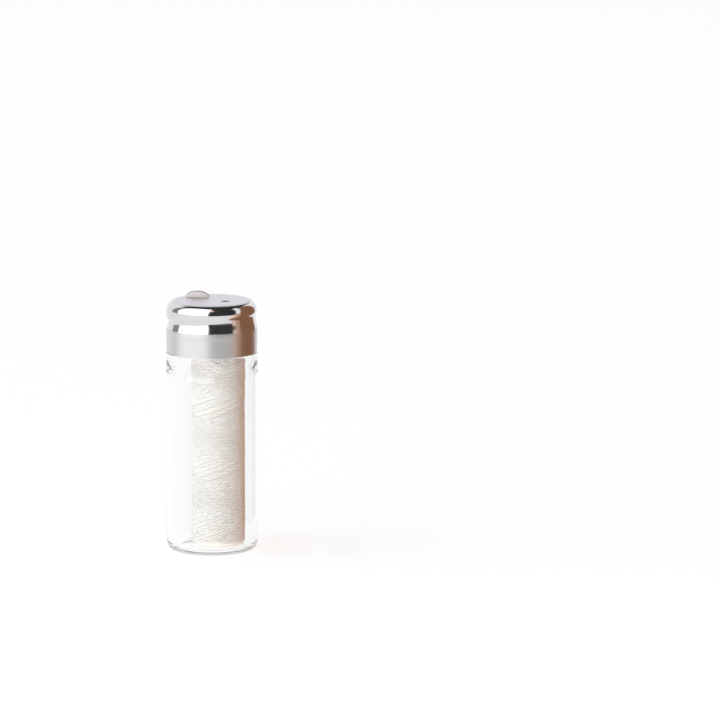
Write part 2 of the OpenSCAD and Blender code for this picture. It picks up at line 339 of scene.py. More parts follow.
def foam(colour):
    """Closed-cell polyethylene foam, die cut: white, matt, with a fine grain of cells."""
    material, tree, out = surface("polyethylene_foam")
    place = node(tree, "ShaderNodeTexCoord").outputs["Object"]
    # Cells of 0.2 mm
    cells = node(tree, "ShaderNodeTexVoronoi", {"Vector": place, "Scale": 5000.0})
    tone = node(tree, "ShaderNodeMixRGB", {"Fac": cells, "Color1": linear("#e2e1dc"),
                                           "Color2": colour})
    bump = node(tree, "ShaderNodeBump", {"Height": cells, "Strength": 0.5, "Distance": 0.05 * MM})
    shade = node(tree, "ShaderNodeBsdfPrincipled", {
        "Base Color": tone, "Roughness": 0.7, "Subsurface Weight": 0.3,
        "Subsurface Scale": 0.3 * MM, "Normal": bump})
    tree.links.new(shade.outputs[0], out.inputs["Surface"])
    return material


def round_spool(tree, place, axis_x):
    """The angle round the spool's axis, and the height, of each point of a piece."""
    centred = node(tree, "ShaderNodeMapping", {"Vector": place, "Location": (-axis_x, 0, 0)})
    apart = node(tree, "ShaderNodeSeparateXYZ", {"Vector": centred})
    turn = node(tree, "ShaderNodeMath", {0: apart.outputs[1], 1: apart.outputs[0]},
                operation="ARCTAN2")
    return turn, apart.outputs[2]


# How far the seam of the paper climbs in one turn
PLY_LEAD = 9 * MM


def kraft_paper(colour, axis_x):
    """Kraft paper wound in a spiral and glued: tan, fibrous, with the seam of its outer ply."""
    material, tree, out = surface("spiral_wound_kraft_paper")
    place = node(tree, "ShaderNodeTexCoord").outputs["Object"]
    turn, up = round_spool(tree, place, axis_x)
    share = node(tree, "ShaderNodeMath", {0: turn, 1: math.tau}, operation="DIVIDE")
    climb = node(tree, "ShaderNodeMath", {0: up, 1: PLY_LEAD}, operation="DIVIDE")
    both = node(tree, "ShaderNodeMath", {0: share, 1: climb}, operation="ADD")
    ply = node(tree, "ShaderNodeMath", {0: both}, operation="FRACT")
    seam = node(tree, "ShaderNodeMapRange", {"Value": ply, "From Min": 0.0, "From Max": 0.05})
    fibres = node(tree, "ShaderNodeTexNoise", {"Vector": place, "Scale": 2200.0, "Detail": 5.0})
    blot = node(tree, "ShaderNodeTexNoise", {"Vector": place, "Scale": 420.0, "Detail": 3.0})
    mixed = node(tree, "ShaderNodeMixRGB", {"Fac": fibres, "Color1": linear("#97704a"),
                                            "Color2": colour})
    worn = node(tree, "ShaderNodeMixRGB", {"Fac": blot, "Color1": mixed, "Color2": linear("#c39a70")})
    lined = node(tree, "ShaderNodeMixRGB", {"Fac": seam, "Color1": linear("#7d5b3b"), "Color2": worn})
    bump = node(tree, "ShaderNodeBump", {"Height": fibres, "Strength": 0.4, "Distance": 0.04 * MM})
    shade = node(tree, "ShaderNodeBsdfPrincipled", {
        "Base Color": lined, "Roughness": 0.85, "Normal": bump})
    tree.links.new(shade.outputs[0], out.inputs["Surface"])
    return material


# The distance between strands, and how far one climbs in one turn
STRAND_PITCH, STRAND_LEAD = 0.36 * MM, 15.12 * MM


def wound_silk(colour, axis_x):
    """Silk laid in crossing turns, seen as a mass: fine lines climbing both ways round the package,
    with painted shade in the dips between them.
    """
    material, tree, out = surface("cross_wound_silk")
    place = node(tree, "ShaderNodeTexCoord").outputs["Object"]
    turn, up = round_spool(tree, place, axis_x)
    height = None
    for way in (1, -1):
        # The lead is 42 times the pitch, so that the lines join up round the barrel
        slope = node(tree, "ShaderNodeMath", {0: turn, 1: way * STRAND_LEAD / math.tau},
                     operation="MULTIPLY")
        level = node(tree, "ShaderNodeMath", {0: up, 1: slope}, operation="ADD")
        phase = node(tree, "ShaderNodeMath", {0: level, 1: math.tau / STRAND_PITCH},
                     operation="MULTIPLY")
        ridge = node(tree, "ShaderNodeMath", {0: phase}, operation="SINE")
        if height is None:
            height = ridge
        else:
            height = node(tree, "ShaderNodeMath", {0: height, 1: ridge}, operation="MAXIMUM")
    # Painted shade: the colour is a little darker in the dips between the lines than on their crests
    tone = node(tree, "ShaderNodeMapRange", {"Value": height, "From Min": -0.8, "From Max": 0.8})
    mixed = node(tree, "ShaderNodeMixRGB", {"Fac": tone, "Color1": linear("#efe9dc"),
                                            "Color2": colour})
    bump = node(tree, "ShaderNodeBump", {"Height": height, "Strength": 0.4, "Distance": 0.05 * MM})
    shade = node(tree, "ShaderNodeBsdfPrincipled", {
        "Base Color": mixed, "Roughness": 0.55, "Sheen Weight": 0.15,
        "Subsurface Weight": 0.5, "Subsurface Scale": 0.5 * MM, "Subsurface Radius": (1, 0.9, 0.8),
        "Normal": bump})
    tree.links.new(shade.outputs[0], out.inputs["Surface"])
    return material


def silk_strand(colour):
    """Waxed silk floss: fine filaments side by side, cream white, with a soft gloss along them."""
    material, tree, out = surface("waxed_silk_floss")
    strip = node(tree, "ShaderNodeUVMap", uv_map="along")
    # Filaments of 0.015 mm, drawn at 0.06 mm
    stretch = node(tree, "ShaderNodeMapping", {"Vector": strip, "Scale": (24, 0.35, 1)})
    fibres = node(tree, "ShaderNodeTexNoise", {"Vector": stretch, "Scale": 1.0, "Detail": 3.0})
    tone = node(tree, "ShaderNodeAttribute", attribute_name="strand_tone")
    pale = node(tree, "ShaderNodeMixRGB", {"Fac": tone.outputs["Fac"], "Color1": linear("#f1ece1"),
                                           "Color2": colour})
    shaded = node(tree, "ShaderNodeMapRange", {"Value": fibres, "From Min": 0.3, "From Max": 0.7,
                                               "To Min": 0.9, "To Max": 1.0})
    mixed = node(tree, "ShaderNodeMixRGB", {"Fac": 1.0, "Color1": pale, "Color2": shaded},
                 blend_type="MULTIPLY")
    bump = node(tree, "ShaderNodeBump", {"Height": fibres, "Strength": 0.4, "Distance": 0.02 * MM})
    shade = node(tree, "ShaderNodeBsdfPrincipled", {
        "Base Color": mixed, "Roughness": 0.45, "Sheen Weight": 0.2,
        "Subsurface Weight": 0.5, "Subsurface Scale": 0.4 * MM, "Subsurface Radius": (1, 0.9, 0.8),
        "Normal": bump})
    tree.links.new(shade.outputs[0], out.inputs["Surface"])
    return material


# Glass vial

# The cap's groove at angle 0 is this far under its top, and the glass thread this far over it
THREAD_DROP = 7.6 * MM
THREAD_LIFT = 1.5 * MM
THREAD_FROM, THREAD_TO = -110, 230
THREAD_HALF_WIDTH = 0.75 * MM
NECK_WALL = 1.3 * MM
NECK_PLAY, THREAD_PLAY = 0.37 * MM, 0.27 * MM
FOOT_RING = 1.2 * MM
FADE = 35.0


def fade(angle, start, end):
    """How much of a thread is there at an angle: none at its ends, all of it between."""
    return step_between(min(angle - start, end - angle), 0, FADE)


def glass_thread(angle, height, lead):
    """Share of the glass thread's height, from 0 to 1, at a place on the neck."""
    total = 0.0
    for a in (angle, angle - 360):
        if THREAD_FROM <= a <= THREAD_TO:
            middle = CAP_TOP - THREAD_DROP + THREAD_LIFT + lead * a / 360
            away = abs(height - middle) / THREAD_HALF_WIDTH
            total += fade(a, THREAD_FROM, THREAD_TO) * max(0.0, 1 - away**2.2)
    return min(1.0, total)


class DISPENSER_OT_glass_vial(bpy.types.Operator):
    """Turns the glass vial and raises the screw thread on its neck"""

    bl_idname = "dispenser.glass_vial"
    bl_label = "Glass vial"

    def execute(self, context):
        sizes, cap = context.scene.vial_sizes, context.scene.cap_sizes
        outer, heel, wall, rim = sizes.radius, sizes.heel, sizes.wall, sizes.rim
        inner = outer - wall
        neck = cap.radius - cap.sheet - cap.groove - NECK_PLAY
        bore = neck - NECK_WALL
        rest = outer - heel - FOOT_RING
        lip = NECK_WALL * 0.45
        shoulder, corner = sizes.shoulder, 0.3 * MM
        fillet = (outer - corner - neck) / 2
        hollow = 0.5 * MM
        dome = (rest**2 + hollow**2) / (2 * hollow)
        edge = math.degrees(math.asin(rest / dome))
        outline = arc(0, hollow - dome, dome, 90, 90 - edge, 10)
        outline += arc(outer - heel, heel, heel, -90, 0, 14)
        outline += rows(outer, heel, shoulder - corner, 4 * MM)
        outline += arc(outer - corner, shoulder - corner, corner, 0, 90, 8)
        outline += arc(neck + fillet, shoulder + fillet, fillet, 270, 180, 5)
        outline += rows(neck, shoulder + fillet, rim - lip, 0.17 * MM)
        outline += arc(neck - lip, rim - lip, lip, 0, 90, 6)
        outline += arc(bore + lip, rim - lip, lip, 90, 180, 6)
        outline += rows(bore, rim - lip, shoulder, 3 * MM)
        bend = 24
        outline += [(bore + (inner - bore) * (1 - math.cos(math.pi * t / bend)) / 2,
                     shoulder - sizes.throat * t / bend) for t in range(bend + 1)]
        inside = heel * 0.4
        outline += rows(inner, shoulder - sizes.throat, sizes.floor + inside, 4 * MM)
        outline += arc(inner - inside, sizes.floor + inside, inside, 0, -90, 12)
        outline += [((inner - inside) * k, sizes.floor) for k in (0.8, 0.6, 0.4, 0.2, 0)]
        vial = turned("vial_glass", outline, 192)
        crest = cap.radius - cap.sheet - THREAD_PLAY - neck
        for v in vial.data.vertices:
            r = math.hypot(v.co.x, v.co.y)
            if abs(r - neck) < 0.01 * MM and v.co.z > shoulder + fillet / 2:
                angle = math.degrees(math.atan2(v.co.y, v.co.x)) % 360
                grow = 1 + crest * glass_thread(angle, v.co.z, cap.lead) / r
                v.co.x *= grow
                v.co.y *= grow
        smooth(vial, 50)
        finish_piece(vial, "vial", "clear_glass", ["glass_vial"], vial_glass(sizes.tint))
        # The lamps light the spool through the glass without the noise of caustics
        vial.visible_shadow = False
        vial.visible_diffuse = False
        return {"FINISHED"}


# Screw cap

GROOVE_FROM, GROOVE_TO = -25.0, 385.0
GROOVE_ABOVE = 1.1 * MM
LEVEL_FROM, LEVEL_EASE = 290, 16
FLANK_LEAST, FLANK_MOST, FLANK_IN_SKIRT = 2.0 * MM, 3.6 * MM, 0.8 * MM
SWELL, SWELL_BELOW = 0.16, 1.3 * MM
SATIN_TOP = 54.35 * MM
FLAP_WIDTH, FLAP_LENGTH = 5.7 * MM, 3.2 * MM
FLAP_LEFT, FLAP_BACK = 3.5 * MM, 4.8 * MM
FLAP_TILT, FLAP_BEND, FLAP_GAP = 40.0, 0.5 * MM, 0.08 * MM
HOLE_PLACE = (3.3 * MM, -2.0 * MM)


def groove_height(angle, lead):
    """Height of the rolled groove, which climbs at the lead and runs level at its upper end."""
    eased = angle - LEVEL_EASE * math.log(1 + math.exp((angle - LEVEL_FROM) / LEVEL_EASE))
    return CAP_TOP - THREAD_DROP + lead * eased / 360


def falling(t):
    """From 1 at t = 0 down to 0 at t = 1, on a cosine."""
    return (1 + math.cos(math.pi * t)) / 2


def roll_form(angle, height, lead):
    """Depth of the rolled groove less the swelling below it, as shares of the groove's depth."""
    total = 0.0
    for a in (angle, angle + 360):
        if GROOVE_FROM <= a <= GROOVE_TO:
            bottom = groove_height(a, lead)
            up = height - bottom
            # The lower flank runs a little way into the brushed skirt
            below = min(FLANK_MOST, max(FLANK_LEAST, bottom - SATIN_TOP + FLANK_IN_SKIRT))
            if 0 <= up < GROOVE_ABOVE:
                share = falling(up / GROOVE_ABOVE)
            elif -below < up < 0:
                share = (1 + SWELL) * falling(-up / below) - SWELL
            elif -below - SWELL_BELOW < up <= -below:
                share = -SWELL * falling((-up - below) / SWELL_BELOW)
            else:
                continue
            total += fade(a, GROOVE_FROM, GROOVE_TO) * share
    return total


def half_round(name, width, length, low, high):
    """A half-round block with its straight side on the flap's bend, to cut the sheet with."""
    straight = length - width / 2
    deselect()
    bpy.ops.mesh.primitive_cylinder_add(
        vertices=96, radius=width / 2, depth=high - low,
        location=(-FLAP_LEFT, FLAP_BACK - straight, (low + high) / 2))
    block = named(name)
    bpy.ops.object.transform_apply(location=True, rotation=True, scale=True)
    bpy.ops.object.mode_set(mode="EDIT")
    bpy.ops.mesh.select_all(action="SELECT")
    bpy.ops.mesh.bisect(plane_co=(0, FLAP_BACK - straight, 0), plane_no=(0, 1, 0),
                        use_fill=True, clear_outer=True)
    bpy.ops.mesh.select_all(action="DESELECT")
    bpy.ops.object.mode_set(mode="OBJECT")
    for face in block.data.polygons:
        face.select = face.normal.y > 0.9
    bpy.ops.object.mode_set(mode="EDIT")
    bpy.ops.mesh.select_mode(type="FACE")
    bpy.ops.mesh.extrude_region_move(TRANSFORM_OT_translate={"value": (0, straight, 0)})
    bpy.ops.mesh.select_all(action="SELECT")
    bpy.ops.mesh.normals_make_consistent(inside=False)
    bpy.ops.object.mode_set(mode="OBJECT")
    return block


class DISPENSER_OT_screw_cap(bpy.types.Operator):
    """Presses the steel cap, rolls its thread, punches the floss hole and lances the cutter"""

    bl_idname = "dispenser.screw_cap"
    bl_label = "Screw cap"

    def execute(self, context):
        cap = context.scene.cap_sizes
        radius, crown, sheet = cap.radius, cap.crown, cap.sheet
        # The sheet ends just above the CAD cap's edge
        low = CAP_LOW.z + 0.02 * MM
        outline = [(radius, low)]
        outline += rows(radius, low, SATIN_TOP, 0.16 * MM)
        outline += [(radius, SATIN_TOP)]
        outline += rows(radius, SATIN_TOP, CAP_TOP - crown, 0.14 * MM)
        outline += arc(radius - crown, CAP_TOP - crown, crown, 0, 90, 18)
        outline += [((radius - crown) * k, CAP_TOP) for k in (0.75, 0.5, 0.25, 0)]
        shell = turned("cap_shell", outline, 256)
        for v in shell.data.vertices:
            r = math.hypot(v.co.x, v.co.y)
            if r > radius * 0.5:
                angle = math.degrees(math.atan2(v.co.y, v.co.x)) % 360
                grow = 1 - cap.groove * roll_form(angle, v.co.z, cap.lead) / r
                v.co.x *= grow
                v.co.y *= grow
        polished = polished_steel(cap.steel)
        brushed = brushed_steel(cap.steel)
        satin = satin_steel(linear("#dcdae2"))
        # The rolled faces are mill-finish steel painted near white: painted light that lifts the flap's
        # underside, which faces down into shade
        mill_painted_pale = mill_steel("mill_finish_steel_painted_pale", "#f8f8f8", "#ececec")
        for material in (polished, brushed, satin, mill_painted_pale, mill_painted_pale, mill_painted_pale):
            shell.data.materials.append(material)
        for face in shell.data.polygons:
            if face.center.z < SATIN_TOP:
                face.material_index = 1
            elif face.center.z > CAP_TOP - 0.2 * MM:
                face.material_index = 2
        modify(shell, "SOLIDIFY", thickness=sheet, offset=-1, use_even_offset=True,
               material_offset=3, material_offset_rim=0)
        deselect()
        bpy.ops.mesh.primitive_cylinder_add(
            vertices=64, radius=cap.hole / 2, depth=2 * MM, location=(*HOLE_PLACE, CAP_TOP))
        hole = named("hole_punch")
        cut(shell, hole)
        cut(shell, half_round("flap_die", FLAP_WIDTH + 2 * FLAP_GAP, FLAP_LENGTH + FLAP_GAP,
                              CAP_TOP - 1 * MM, CAP_TOP + 1 * MM))
        smooth(shell, 30)
        finish_piece(shell, "cap", "polished_steel", ["screw_cap"])

        # The cut edge is a rough sheared face, painted a darker grey than the sheet: painted shade that
        # outlines the tongue
        edge_painted_dark = mill_steel("sheared_steel_with_painted_shade", "#8e8e90", "#7e7e80")
        flap = self.flap(sheet, satin, mill_painted_pale, edge_painted_dark)
        finish_piece(flap, "cap", "polished_steel", [])
        return {"FINISHED"}

    def flap(self, sheet, *materials):
        """The half-round tongue, bent up at its straight side. Materials: top, underside, edge."""
        tilt = math.radians(FLAP_TILT)
        middle = FLAP_BEND + sheet / 2
        bent = middle * tilt
        total = bent + FLAP_LENGTH - FLAP_BEND
        start = bent - (FLAP_WIDTH / 2 - (FLAP_LENGTH - FLAP_BEND))
        deselect()
        bpy.ops.mesh.primitive_grid_add(
            x_subdivisions=36, y_subdivisions=40, size=2, location=(0, 0, 0))
        flap = named("cutter_flap")
        for material in materials:
            flap.data.materials.append(material)
        for v in flap.data.vertices:
            # The rows crowd towards the round tip, so that its outline stays round
            along = total * math.sin((v.co.y + 1) / 2 * math.pi / 2)
            half = FLAP_WIDTH / 2
            if along > start:
                half = math.sqrt(max(0.0, (FLAP_WIDTH / 2) ** 2 - (along - start) ** 2))
            x = -FLAP_LEFT + v.co.x * half
            if along < bent:
                a = along / middle
                y, z = middle * math.sin(a), middle * (1 - math.cos(a))
            else:
                y = middle * math.sin(tilt) + (along - bent) * math.cos(tilt)
                z = middle * (1 - math.cos(tilt)) + (along - bent) * math.sin(tilt)
            v.co = (x, FLAP_BACK - y, CAP_TOP - sheet / 2 + z)
        use(flap)
        bpy.ops.object.mode_set(mode="EDIT")
        bpy.ops.mesh.select_all(action="SELECT")
        bpy.ops.mesh.remove_doubles(threshold=0.001 * MM)
        bpy.ops.mesh.normals_make_consistent(inside=False)
        bpy.ops.object.mode_set(mode="OBJECT")
        if flap.data.polygons[0].normal.z < 0:
            bpy.ops.object.mode_set(mode="EDIT")
            bpy.ops.mesh.select_all(action="SELECT")
            bpy.ops.mesh.flip_normals()
            bpy.ops.object.mode_set(mode="OBJECT")
        modify(flap, "SOLIDIFY", thickness=sheet, offset=0, material_offset=1, material_offset_rim=2)
        smooth(flap, 40)
        return flap


# Rim gasket


class DISPENSER_OT_rim_gasket(bpy.types.Operator):
    """Turns the foam ring that seals the rim"""

    bl_idname = "dispenser.rim_gasket"
    bl_label = "Rim gasket"

    def execute(self, context):
        low, high = GASKET_LOW.z, GASKET_HIGH.z
        outer = GASKET_HIGH.x
        inner = 7.35 * MM
        soft, curve = 0.08 * MM, 0.2 * MM
        outline = arc(inner + soft, low + soft, soft, 180, 270, 3)
        outline += arc(outer - soft, low + soft, soft, -90, 0, 3)
        outline += [(outer - 0.02 * MM, low + 0.45 * (high - low))]
        # Its upper edge is rounded to fit inside the cap's crown
        outline += arc(outer - 0.3 * MM, high - curve, curve, 30, 90, 4)
        outline += arc(inner + soft, high - soft, soft, 90, 180, 3)
        outline += [outline[0]]
        ring = turned("gasket_ring", outline, 128)
        smooth(ring, 50)
        finish_piece(ring, "cap_seal", "gasket_foam", ["rim_gasket"], foam(linear("#f4f4f0")))
        return {"FINISHED"}


# Spool

SPOOL_X = (CORE_LOW.x + CORE_HIGH.x) / 2
SPOOL_LOW, SPOOL_HIGH = CORE_LOW.z, CORE_HIGH.z


class DISPENSER_OT_paper_core(bpy.types.Operator):
    """Turns the spiral-wound paper core"""

    bl_idname = "dispenser.paper_core"
    bl_label = "Paper core"

    def execute(self, context):
        spool = context.scene.spool_sizes
        inner, outer = spool.core_bore, spool.core_radius
        soft = 0.12 * MM
        outline = arc(inner + soft, SPOOL_LOW + soft, soft, 180, 270, 3)
        outline += arc(outer - soft, SPOOL_LOW + soft, soft, -90, 0, 3)
        outline += arc(outer - soft, SPOOL_HIGH - soft, soft, 0, 90, 3)
        outline += arc(inner + soft, SPOOL_HIGH - soft, soft, 90, 180, 3)
        outline += [outline[0]]
        core = turned("core_tube", outline, 96, SPOOL_X)
        smooth(core, 50)
        finish_piece(core, "spool", "kraft_board", ["paper_core"], kraft_paper(spool.kraft, SPOOL_X))
        return {"FINISHED"}


def strand(name, path, outs, thick, wide, sides, tones):
    """A tube that follows a path, flattened against the package, with a UV map along its length."""
    mesh = bpy.data.meshes.new(name)
    obj = bpy.data.objects.new(name, mesh)
    bpy.context.scene.collection.objects.link(obj)
    bm = bmesh.new()
    uv = bm.loops.layers.uv.new("along")
    tone = bm.verts.layers.float.new("strand_tone")
    rings, run, travelled = [], [], 0.0
    last = len(path) - 1
    for i, p in enumerate(path):
        ahead = (path[min(i + 1, last)] - path[max(i - 1, 0)]).normalized()
        out = (outs[i] - ahead * outs[i].dot(ahead)).normalized()
        side = ahead.cross(out)
        ring = []
        for k in range(sides):
            a = math.tau * (k + 0.5) / sides
            v = bm.verts.new(p + out * (math.cos(a) * thick / 2) + side * (math.sin(a) * wide / 2))
            v[tone] = tones[i]
            ring.append(v)
        if i:
            travelled += (p - path[i - 1]).length
        rings.append(ring)
        run.append(travelled / wide)
    for i in range(last):
        for k in range(sides):
            m = (k + 1) % sides
            face = bm.faces.new((rings[i][k], rings[i][m], rings[i + 1][m], rings[i + 1][k]))
            face.smooth = True
            for loop, (s, j) in zip(face.loops, ((k, i), (k + 1, i), (k + 1, i + 1), (k, i + 1))):
                loop[uv].uv = (s / sides, run[j])
    bm.faces.new(list(reversed(rings[0])))
    bm.faces.new(rings[-1])
    bm.to_mesh(mesh)
    bm.free()
    return obj


class DISPENSER_OT_silk_package(bpy.types.Operator):
    """Winds the silk: the package's body, and the crossing turns that lie on it"""

    bl_idname = "dispenser.silk_package"
    bl_label = "Silk package"

    def execute(self, context):
        spool = context.scene.spool_sizes
        radius, hole = spool.winding, spool.core_radius + 0.05 * MM
        edge = 0.8 * MM
        low, high = SPOOL_LOW, SPOOL_HIGH
        outline = [(hole, low)]
        outline += arc(radius - edge, low + edge, edge, -90, 0, 8)
        outline += rows(radius, low + edge, high - edge, 1.5 * MM)
        outline += arc(radius - edge, high - edge, edge, 0, 90, 8)
        outline += [(hole, high)]
        outline += rows(hole, high, low, 8 * MM) + [(hole, low)]
        body = turned("package_body", outline, 160, SPOOL_X)
        smooth(body, 60)
        finish_piece(body, "spool", "silk_floss", ["floss_winding"], wound_silk(spool.silk, SPOOL_X))

        dice = random.Random(7)
        silk = silk_strand(spool.silk)
        path, outs, tones = [], [], []
        passes, lead, per_turn = 96, 15.0 * MM, 20
        seat, growth, crossing = 0.04 * MM, 0.16 * MM, 0.04 * MM
        reach_low, reach_high = low + 1.0 * MM, high - 1.0 * MM
        climb = (reach_high - reach_low) / lead
        angle = 0.0
        for i in range(passes):
            up = i % 2 == 0
            tone = dice.uniform(0.2, 1.0)
            steps = round(climb * per_turn)
            wander = dice.uniform(-0.15, 0.15) * MM
            end_drift = dice.uniform(-0.25, 0.25) * MM
            for s in range(steps):
                t = s / steps
                z = reach_low + (reach_high - reach_low) * (t if up else 1 - t)
                z += wander * math.sin(math.pi * t) + end_drift * (1 - math.sin(math.pi * t)) * 0.5
                grown = (i + t) / passes
                r = radius + seat + growth * grown + (crossing if up else 0)
                a = angle + math.tau * climb * t
                out = Vector((math.cos(a), math.sin(a), 0))
                path.append(Vector((SPOOL_X, 0, z)) + out * r)
                outs.append(out)
                tones.append(tone)
            angle += math.tau * climb + math.radians(11 + dice.uniform(-5, 5))
        ribbon = 0.1 * MM
        turns = strand("outer_turns", path, outs, ribbon, spool.floss, 6, tones)
        finish_piece(turns, "spool", "silk_floss", ["floss_outer_turns"], silk)

        self.loose_end(silk, high)
        return {"FINISHED"}

    def loose_end(self, silk, top):
        """The floss end: off the last turn, over the package's top and down the bore of the core."""
        points = [Vector(p) * MM for p in TAIL_ROUTE]
        turn = Euler((0, 0, math.radians(TAIL_TURN))).to_matrix()
        points = [turn @ p + Vector((SPOOL_X, 0, top)) for p in points]
        path = []
        last = len(points) - 1
        for i in range(last):
            a, b, c, d = (points[min(max(j, 0), last)] for j in (i - 1, i, i + 1, i + 2))
            for s in range(4):
                t = s / 4
                path.append((2 * b + (c - a) * t + (2 * a - 5 * b + 4 * c - d) * t**2
                             + (3 * b - 3 * c + d - a) * t**3) / 2)
        path.append(points[-1])
        side = turn @ Vector((0, 1, 0))
        width = 0.4 * MM
        tail = strand("floss_end", path, [side] * len(path), width, width, 10, [0.8] * len(path))
        finish_piece(tail, "spool", "silk_floss", ["floss_tail"], silk)


# The floss end's turn round the spool in degrees, and its route in millimetres from the spool's
# axis and the package's top
TAIL_TURN = -60
TAIL_ROUTE = (
    (6.4, 0, -0.8), (6.3, 0, -0.4), (6.1, 0, 0), (5.7, 0, 0.2), (5.3, 0, 0.3), (4.2, 0.1, 0.3),
    (3.2, 0.1, 0.3), (2.1, 0, 0.3), (1.65, 0, 0.2), (1.3, 0, -0.15), (1.2, 0, -0.6), (1.2, 0, -2),
    (1.2, 0.1, -4), (1.1, 0.2, -6.5), (0.9, 0.3, -9), (0.8, 0.2, -11.5), (0.8, 0, -14),
    (0.9, -0.2, -16.5), (1, -0.2, -19), (1.1, -0.1, -21.5), (1.1, 0, -24.5))


# Stage

# Where the cards stand, in millimetres from the axis to the right
CARD_X = 26
BROWN = "#92694f"
# How much of the floor is plain white: seen in the open, and seen through the glass
OPEN_AIR, THROUGH_GLASS = 0.85, 0.5
# Brightness of the room that steel mirrors: at its darkest, far left, and met again inside
ROOM_DARK, ROOM_LEFT, ROOM_WITHIN = 0.035, 0.28, 0.9


class DISPENSER_OT_stage(bpy.types.Operator):
    """Lays the pale floor, sets the studio light round the object and places the camera"""

    bl_idname = "dispenser.stage"
    bl_label = "Stage"

    def execute(self, context):
        self.floor()
        self.studio()
        # Upright cards on the right, by their front, back, low and high edges in millimetres
        for name, front, back, low, high, colour in (
                ("brown_card", -11.7, 17.1, 4, 62, BROWN),
                ("dark_card", -9.2, 60, 88, 150, "#303030"),
                ("tan_card", -23, -17.3, 30, 60, "#f2d3bb"),
                ("dark_tan_card", -17.3, -11.7, 20, 62, "#c79f88")):
            self.card(name, [(CARD_X, y, z) for z in (low, high) for y in (front, back)], colour)
        self.card("brown_card_top", [(CARD_X, -12.5, 62), (CARD_X, 17.1, 62), (CARD_X, 1, 88),
                                     (CARD_X, 17.1, 88)], BROWN)
        self.card("white_card", [(25.8, -18.5, 62), (25.8, -12.5, 62), (25.8, -7, 96), (25.8, 2, 92)],
                  "#ffffff")
        # What the brown card gives to the silk: only diffuse light meets this one
        warm = self.card("warm_bounce", [(12.5, y, z) for z in (1, 50) for y in (-9, 16)], "#cc8248")
        warm.visible_glossy = warm.visible_transmission = False
        # The front of the tall softbox to the left of the camera: four corners, lower then upper
        self.card("softbox_front", [(-150, -985, 70), (-1301, 68, 68), (60, -451, 2616),
                                    (-1514, 612, 2615)], "#ffffff", 1.7)
        self.card("warm_spark", [(-6, -64, 126), (8, -64, 126), (-6, -50, 134), (8, -50, 134)],
                  "#ffd9b0", 1.5)
        self.camera(context)
        return {"FINISHED"}

    def floor(self):
        """The pale floor. It is seen nearly white, and still takes the shadows of cap and spool."""
        deselect()
        bpy.ops.mesh.primitive_plane_add(size=12, location=(0, 0, 0))
        floor = named("floor")
        material, tree, out = surface("pale_floor")
        path = node(tree, "ShaderNodeLightPath")
        seen = node(tree, "ShaderNodeMath", {0: path.outputs["Is Camera Ray"],
                                             1: path.outputs["Is Glossy Ray"]}, operation="MAXIMUM")
        open_air = node(tree, "ShaderNodeMath", {0: seen, 1: OPEN_AIR}, operation="MULTIPLY")
        # Through the glass more of the spool's own shadow shows
        through = node(tree, "ShaderNodeMath", {0: path.outputs["Is Transmission Ray"],
                                                1: THROUGH_GLASS}, operation="MULTIPLY")
        share = node(tree, "ShaderNodeMath", {0: open_air, 1: through}, operation="MAXIMUM")
        lit = node(tree, "ShaderNodeBsdfDiffuse", {"Color": linear("#fafafa")})
        white = node(tree, "ShaderNodeEmission", {"Color": linear("#ffffff"), "Strength": 1.0})
        both = node(tree, "ShaderNodeMixShader", {0: share, 1: lit, 2: white})
        tree.links.new(both.outputs[0], out.inputs["Surface"])
        floor.data.materials.append(material)

    def studio(self):
        """Soft light from all round, warmer on the right. Steel sees a white sweep in a dark room."""
        world = bpy.data.worlds.new("studio")
        bpy.context.scene.world = world
        world.use_nodes = True
        tree = world.node_tree
        tree.nodes.clear()
        out = node(tree, "ShaderNodeOutputWorld")
        path = node(tree, "ShaderNodeLightPath")
        way = node(tree, "ShaderNodeTexCoord").outputs["Generated"]
        apart = node(tree, "ShaderNodeSeparateXYZ", {"Vector": way})
        # The sweep stands behind a line that runs from the left, a little back, to the right
        slant = node(tree, "ShaderNodeMath", {0: apart.outputs[0], 1: 0.56}, operation="MULTIPLY")
        depth = node(tree, "ShaderNodeMath", {0: apart.outputs[1], 1: slant}, operation="ADD")
        behind = node(tree, "ShaderNodeMapRange", {"Value": depth, "From Min": -0.03,
                                                   "From Max": 0.05}, interpolation_type="SMOOTHSTEP")
        back = node(tree, "ShaderNodeMapRange", {"Value": apart.outputs[1], "From Min": 0.0,
                                                 "From Max": 0.1}, interpolation_type="SMOOTHSTEP")
        wall = node(tree, "ShaderNodeMath", {0: behind, 1: back}, operation="MULTIPLY")
        ceiling = node(tree, "ShaderNodeMapRange", {"Value": apart.outputs[2], "From Min": 0.8,
                                                    "From Max": 0.66}, interpolation_type="SMOOTHSTEP")
        sweep = node(tree, "ShaderNodeMath", {0: wall, 1: ceiling}, operation="MULTIPLY")
        # Inside the glass and between two steel faces the dark room counts for less
        within = node(tree, "ShaderNodeMath", {0: path.outputs["Transmission Depth"], 1: 0.5},
                      operation="GREATER_THAN")
        again = node(tree, "ShaderNodeMath", {0: path.outputs["Glossy Depth"], 1: 1.5},
                     operation="GREATER_THAN")
        deep = node(tree, "ShaderNodeMath", {0: within, 1: again}, operation="MAXIMUM")
